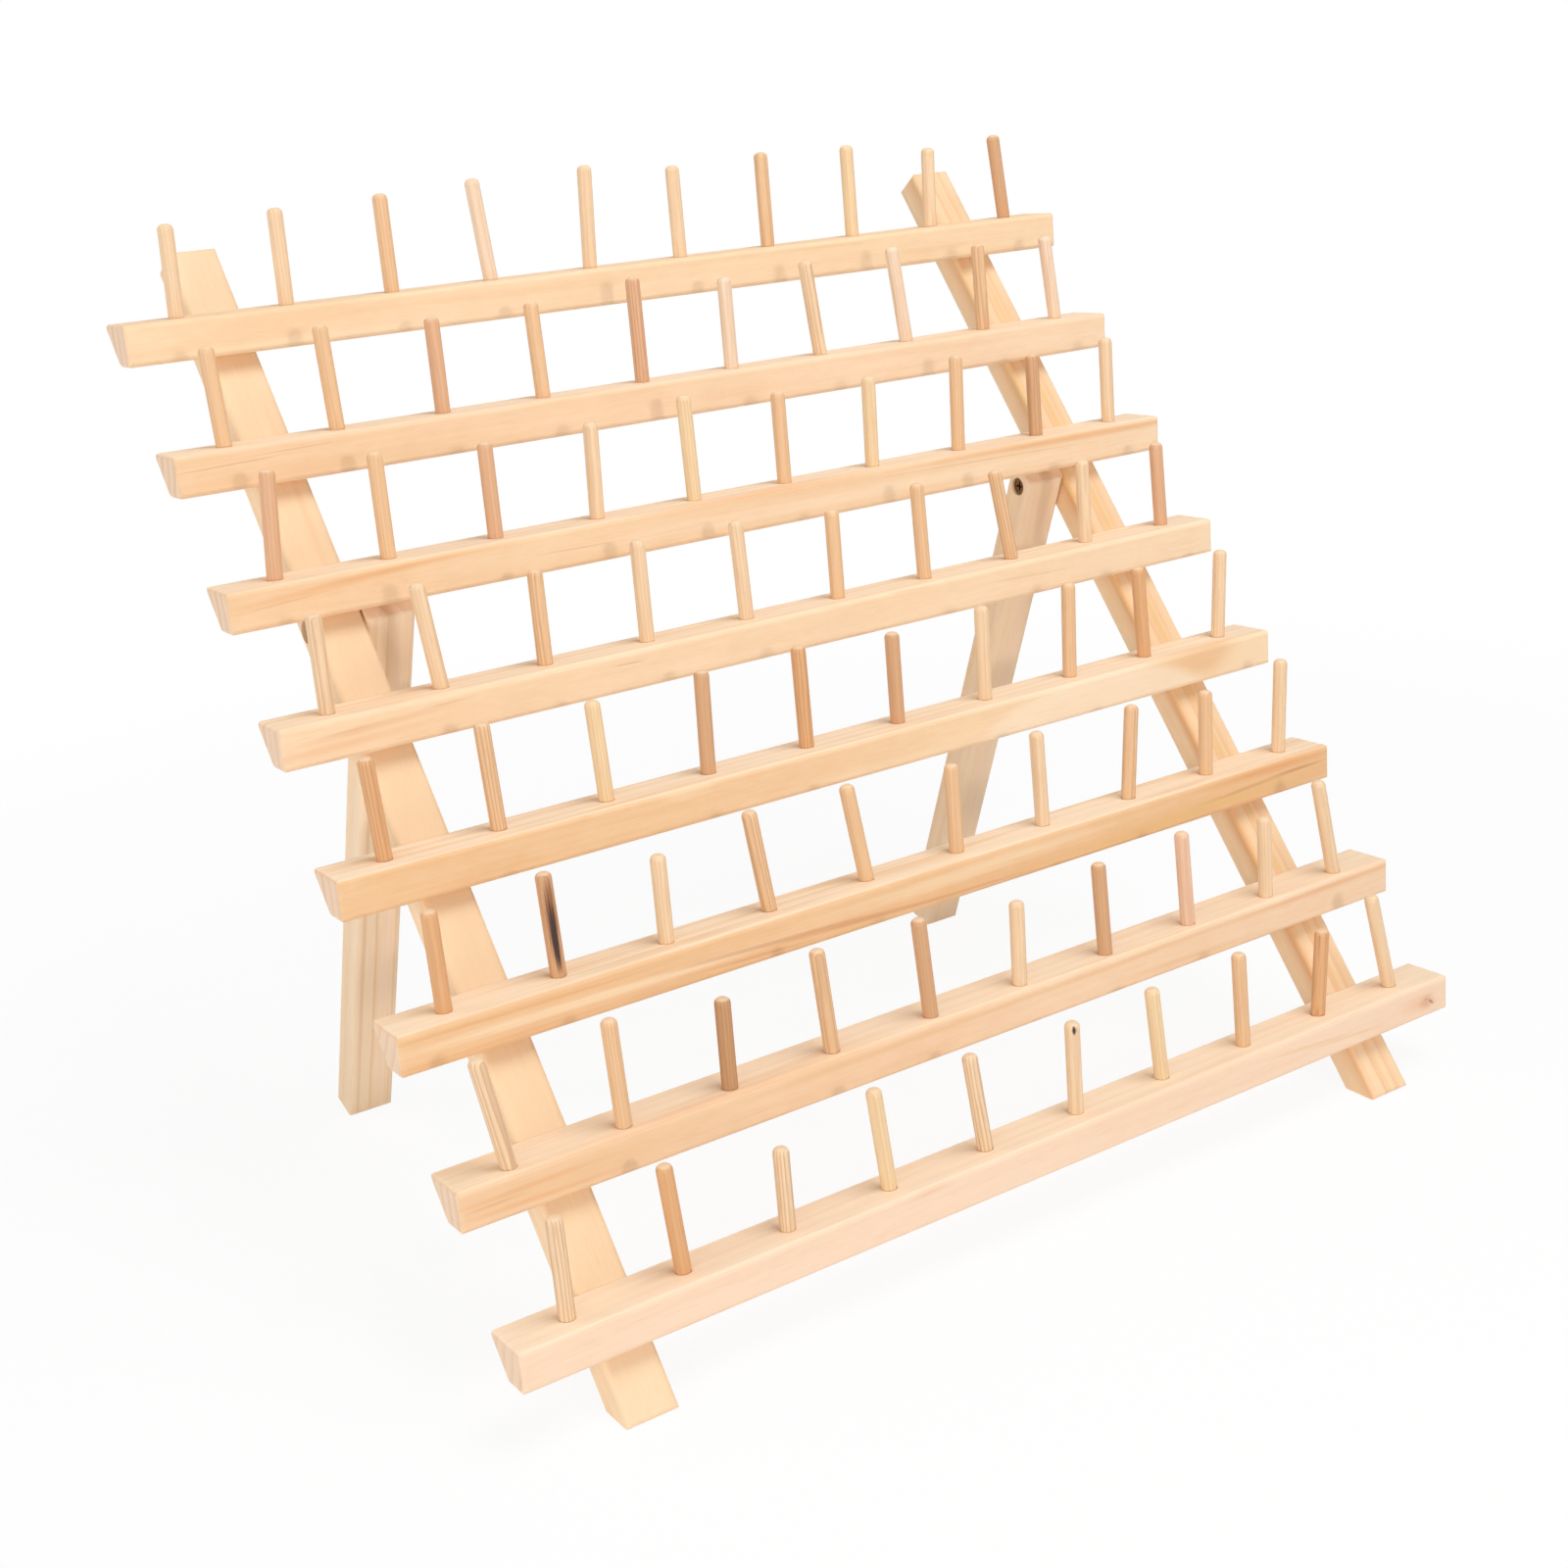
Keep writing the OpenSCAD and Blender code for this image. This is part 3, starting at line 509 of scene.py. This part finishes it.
def dowel(name, look, row):
    """Ten turned pegs in one material, each with its own lean, tone and lines along its own axis."""
    places = peg_places(row)
    first, last = places[0][0], places[-1][0]
    pitch = (last.x - first.x) / (PEGS - 1)
    leans, tones, extras = peg_facts(row, look, places, pitch)
    f = Finish(name)

    # Which peg a point is on, and its place in that peg
    x, y, z = f.add("SeparateXYZ", {0: f.vector("SUBTRACT", f.place, tuple(first))}).node.outputs
    number = f.math("FLOOR", f.math("ADD", f.math("DIVIDE", x, pitch), 0.5))
    step = f.math("DIVIDE", f.math("ADD", number, 0.5), PEGS)
    lean = f.add("SeparateColor", {0: f.steps(step, leans)}).node.outputs
    extra = f.add("SeparateColor", {0: f.steps(step, extras)}).node.outputs
    aside, tilt_x, tilt_y = (f.math("MULTIPLY", f.math("SUBTRACT", part, 0.5), size)
                             for part, size in zip(lean, (PEG_ASIDE, PEG_SLOPE, PEG_SLOPE)))
    x = f.math("SUBTRACT", f.math("SUBTRACT", x, f.math("MULTIPLY", number, pitch)), aside)
    x = f.math("MULTIPLY", f.math("SUBTRACT", x, f.math("MULTIPLY", z, tilt_x)), MM)
    y = f.math("MULTIPLY", f.math("SUBTRACT", y, f.math("MULTIPLY", z, tilt_y)), MM)
    spot = f.point(x, y, f.math("MULTIPLY", z, MM))

    # Lines along the peg, turned by chance from peg to peg
    seed = f.math("MULTIPLY_ADD", number, PEG_SEED, row * ROW_SEED)
    angle = f.math("MULTIPLY", f.chance(seed), math.pi)
    flat_x = f.math("MULTIPLY", x, f.math("COSINE", angle))
    flat = f.math("ADD", flat_x, f.math("MULTIPLY", y, f.math("SINE", angle)))
    wander = f.math("MULTIPLY", f.noise(spot, (6, 6, 40), seed), 1.2)
    count = f.math("ADD", f.math("DIVIDE", flat, look.ring * MM), f.math("ADD", wander, seed))
    part = f.math("FRACT", count)
    rise = f.math("POWER", f.fade(part, 0.1, 0.9), 2.0)
    ring = f.math("MULTIPLY", rise, f.fade(part, 0.92, 1.0, 1.0, 0.0))
    fibre = f.noise(spot, (0.42, 0.42, 16), seed, 3.0, 0.6)
    cloud = f.noise(spot, (3, 3, 22), f.math("ADD", seed, 4.0), 1.0)
    tone = f.blend(f.fade(cloud, -0.2, 0.25, 0.0, 0.18), f.steps(step, tones), look.amber)
    lines = f.math("MULTIPLY", extra[0], LINE_SHARE)
    tone = f.blend(f.math("MULTIPLY", ring, lines), tone, look.streak)
    fine = f.math("MULTIPLY", f.fade(fibre, 0.0, 0.28), f.math("ADD", lines, 0.06))
    tone = f.blend(fine, tone, look.streak)

    # Black streak, knot and turned tip
    ragged = f.math("MULTIPLY_ADD", fibre, 1.4, f.math("MULTIPLY", cloud, 0.8))
    for place, size, field, shade in PEG_MARKS:
        inside = f.fade(f.math("ADD", f.egg(spot, place, size), ragged), 1.1, 0.45)
        tone = f.blend(f.math("MULTIPLY", inside, extra[field]), tone, getattr(look, shade))
    end = f.fade(f.along(f.facing, (0, 0, 1)), 0.45, 0.9, 0.0, 0.75)
    tone = f.blend(end, tone, look.tip)
    rough = f.fade(fibre, -0.3, 0.3, *DOWEL_ROUGH)
    return f.close(tone, rough, f.math("MULTIPLY_ADD", ring, 0.4, fibre), DOWEL_RELIEF)


def turned_metal(name, shade, axis, middle, rough):
    """Metal turned about an axis, with fine rings, blotches and a dull film in places."""
    f = Finish(name)
    spot = f.vector("DIVIDE", f.vector("SUBTRACT", f.place, tuple(middle)), (1 / MM, 1 / MM, 1 / MM))
    run = f.along(spot, axis)
    away = f.vector("LENGTH", f.vector("CROSS_PRODUCT", spot, tuple(axis)), out="Value")
    turning = f.noise(f.point(away, run, 0.0), (0.11, 2, 1), 2.0, 2.0)
    film = f.noise(spot, (1, 1, 1), 5.0, 3.0)
    tone = f.blend(f.fade(film, -0.1, 0.25), shade, tuple(c * 0.55 for c in shade))
    tone = f.blend(f.fade(turning, 0.0, 0.4, 0.0, 0.3), tone, tuple(min(1, c * 1.5) for c in shade))
    dull = f.fade(film, -0.3, 0.3, rough, rough + METAL_DULL)
    return f.close(tone, dull, turning, METAL_RELIEF, Metallic=1.0)


class RACK_OT_rails(bpy.types.Operator):
    """Gives the eight rails their pine"""

    bl_idname = "rack.rails"
    bl_label = "Rails"

    def execute(self, context):
        look = context.scene.rack_pine
        run, side, deep = Vector((1, 0, 0)), Vector((0, 0, -1)), Vector((0, 1, 0))
        for number, board in enumerate(RAIL_BOARDS, 1):
            node = f"rail_{number}"
            low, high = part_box(node)
            corner = Vector(((low.x + high.x) / 2, low.y, high.z))
            dress(node, pine(f"pine {node}", look, board, RAIL_MARKS[number], corner, run, side, deep))
        return {"FINISHED"}


def dress_prop(look, node, board, marks, lean):
    """Gives a post or a rear leg its pine, with its marks measured from the middle of its front."""
    run, side = Vector((0, math.sin(lean), math.cos(lean))), Vector((1, 0, 0))
    deep = run.cross(side)
    front = middle_of(node) - deep * HALF_POST
    dress(node, pine(f"pine {node}", look, board, marks, front, run, side, deep))


class RACK_OT_posts(bpy.types.Operator):
    """Gives the two leaning posts their pine"""

    bl_idname = "rack.posts"
    bl_label = "Posts"

    def execute(self, context):
        for node, board in POST_BOARDS.items():
            dress_prop(context.scene.rack_pine, node, board, POST_MARKS[node], POST_LEAN)
        return {"FINISHED"}


class RACK_OT_rear_legs(bpy.types.Operator):
    """Gives the two folding rear legs their pine"""

    bl_idname = "rack.rear_legs"
    bl_label = "Rear legs"

    def execute(self, context):
        for node, board in LEG_BOARDS.items():
            dress_prop(context.scene.rack_pine, node, board, LEG_MARKS[node], LEG_LEAN)
        return {"FINISHED"}


class RACK_OT_pegs(bpy.types.Operator):
    """Gives the eighty pegs their dowel wood, each with its own tone"""

    bl_idname = "rack.pegs"
    bl_label = "Pegs"

    def execute(self, context):
        for row in range(1, ROWS + 1):
            dress(f"pegs_row_{row}", dowel(f"dowel row {row}", context.scene.rack_dowel, row))
        return {"FINISHED"}


class RACK_OT_pivots(bpy.types.Operator):
    """Gives the pivot bolts and nuts of the rear legs their bronze metal"""

    bl_idname = "rack.pivots"
    bl_label = "Pivots"

    def execute(self, context):
        bronze = tuple(context.scene.rack_metal.bronze)
        axis = Vector((1, 0, 0))
        for side in SIDES:
            for piece in ("bolt", "nut"):
                node = f"pivot_{piece}_{side}"
                dress(node, turned_metal(f"bronze {node}", bronze, axis, middle_of(node), BRONZE_ROUGH))
        return {"FINISHED"}


class RACK_OT_screws(bpy.types.Operator):
    """Gives the rail screws their zinc"""

    bl_idname = "rack.screws"
    bl_label = "Rail screws"

    def execute(self, context):
        zinc = tuple(context.scene.rack_metal.zinc)
        axis = Vector((0, -math.cos(POST_LEAN), math.sin(POST_LEAN)))
        for side in SIDES:
            node = f"rail_screws_{side}"
            dress(node, turned_metal(f"zinc {node}", zinc, axis, middle_of(node), ZINC_ROUGH))
        return {"FINISHED"}


class RACK_OT_stage(bpy.types.Operator):
    """Sets the camera, the white floor, the white room and the lamps"""

    bl_idname = "rack.stage"
    bl_label = "Stage"

    def execute(self, context):
        scene, look = context.scene, context.scene.rack_stage
        scene.view_settings.view_transform = "Standard"
        camera = bpy.data.objects.new("camera", bpy.data.cameras.new("camera"))
        camera.data.sensor_width = SENSOR_WIDTH
        camera.data.lens = look.lens
        turned = (Matrix.Rotation(look.turn, 4, "Z") @ Matrix.Rotation(look.tip, 4, "X")
                  @ Matrix.Rotation(look.roll, 4, "Z"))
        camera.matrix_world = Matrix.Translation(look.eye) @ turned
        scene.collection.objects.link(camera)
        scene.camera = camera
        low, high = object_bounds()
        centre = (low + high) / 2
        self.lay_floor(scene, look, centre, low.z)
        for name, place in LAMPS.items():
            self.hang_lamp(scene, f"{name} lamp", getattr(look, name), centre, *place)
        self.paint_room(scene, look)
        return {"FINISHED"}

    def lay_floor(self, scene, look, centre, level):
        """A white floor that keeps the shadow near the rack and is plain white far from it."""
        mesh = bpy.data.meshes.new("floor")
        corners = [(centre.x + x * FLOOR_HALF, centre.y + y * FLOOR_HALF, level)
                   for x, y in ((-1, -1), (1, -1), (1, 1), (-1, 1))]
        mesh.from_pydata(corners, [], [(0, 1, 2, 3)])
        floor = bpy.data.objects.new("floor", mesh)
        scene.collection.objects.link(floor)
        f = Finish("white floor")
        matt = f.add("BsdfDiffuse", {"Color": look.floor})
        glow = f.add("Emission", {"Color": (1, 1, 1), "Strength": 1.0})
        seen = f.add("LightPath").node.outputs
        bounced = f.math("MAXIMUM", seen["Is Glossy Ray"], seen["Is Transmission Ray"])
        rays = f.math("MAXIMUM", seen["Is Camera Ray"], bounced)
        away = f.vector("DISTANCE", f.place, (centre.x, centre.y, level), out="Value")
        (near, near_share), (far, far_share) = GLOW_NEAR, GLOW_FAR
        share = f.math("MULTIPLY", rays, f.fade(away, near, far, near_share, far_share))
        f.add("OutputMaterial", {"Surface": f.add("MixShader", {0: share, 1: matt, 2: glow})})
        mesh.materials.append(f.material)
        floor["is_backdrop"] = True

    def hang_lamp(self, scene, name, power, centre, turn, rise, away, size):
        """A round lamp, turned to the right of the front and raised, that looks at the middle of the rack."""
        lamp = bpy.data.objects.new(name, bpy.data.lights.new(name, "AREA"))
        lamp.data.shape = "DISK"
        lamp.data.size = size
        lamp.data.energy = power
        turn, rise = math.radians(turn), math.radians(rise)
        back = Vector((math.sin(turn) * math.cos(rise), -math.cos(turn) * math.cos(rise), math.sin(rise)))
        lamp.location = centre + back * away
        lamp.rotation_euler = back.to_track_quat("Z", "Y").to_euler()
        scene.collection.objects.link(lamp)

    def paint_room(self, scene, look):
        """A white room that lights the rack softly and looks plain white."""
        world = bpy.data.worlds.new("white room")
        world.use_nodes = True
        scene.world = world
        tree = world.node_tree
        tree.nodes.clear()
        seen = tree.nodes.new("ShaderNodeLightPath").outputs
        rays = seen["Is Camera Ray"]
        for ray in ("Is Glossy Ray", "Is Transmission Ray"):
            most = tree.nodes.new("ShaderNodeMath")
            most.operation = "MAXIMUM"
            tree.links.new(rays, most.inputs[0])
            tree.links.new(seen[ray], most.inputs[1])
            rays = most.outputs[0]
        strength = tree.nodes.new("ShaderNodeMapRange")
        strength.inputs["To Min"].default_value = look.room
        strength.inputs["To Max"].default_value = 1.0
        tree.links.new(rays, strength.inputs["Value"])
        light = tree.nodes.new("ShaderNodeBackground")
        light.inputs["Color"].default_value = (1, 1, 1, 1)
        tree.links.new(strength.outputs[0], light.inputs["Strength"])
        output = tree.nodes.new("ShaderNodeOutputWorld")
        tree.links.new(light.outputs[0], output.inputs["Surface"])


STEPS = (
    RACK_OT_rails,
    RACK_OT_posts,
    RACK_OT_rear_legs,
    RACK_OT_pegs,
    RACK_OT_pivots,
    RACK_OT_screws,
    RACK_OT_stage,
)


class RACK_PT_panel(bpy.types.Panel):
    """Lists the steps that dress the rack"""

    bl_idname = "RACK_PT_panel"
    bl_label = "Thread rack"
    bl_space_type = "VIEW_3D"
    bl_region_type = "UI"
    bl_category = "Thread rack"

    def draw(self, context):
        for step in STEPS:
            self.layout.operator(step.bl_idname)


LOOKS = {"rack_pine": RackPine, "rack_dowel": RackDowel, "rack_metal": RackMetal, "rack_stage": RackStage}


def register():
    for kind in (*LOOKS.values(), *STEPS, RACK_PT_panel):
        bpy.utils.register_class(kind)
    for name, kind in LOOKS.items():
        setattr(bpy.types.Scene, name, PointerProperty(type=kind))


def unregister():
    for name in LOOKS:
        delattr(bpy.types.Scene, name)
    for kind in (RACK_PT_panel, *reversed(STEPS), *LOOKS.values()):
        bpy.utils.unregister_class(kind)


def main():
    register()
    for step in STEPS:
        group, name = step.bl_idname.split(".")
        getattr(getattr(bpy.ops, group), name)()


if __name__ == "__main__":
    main()
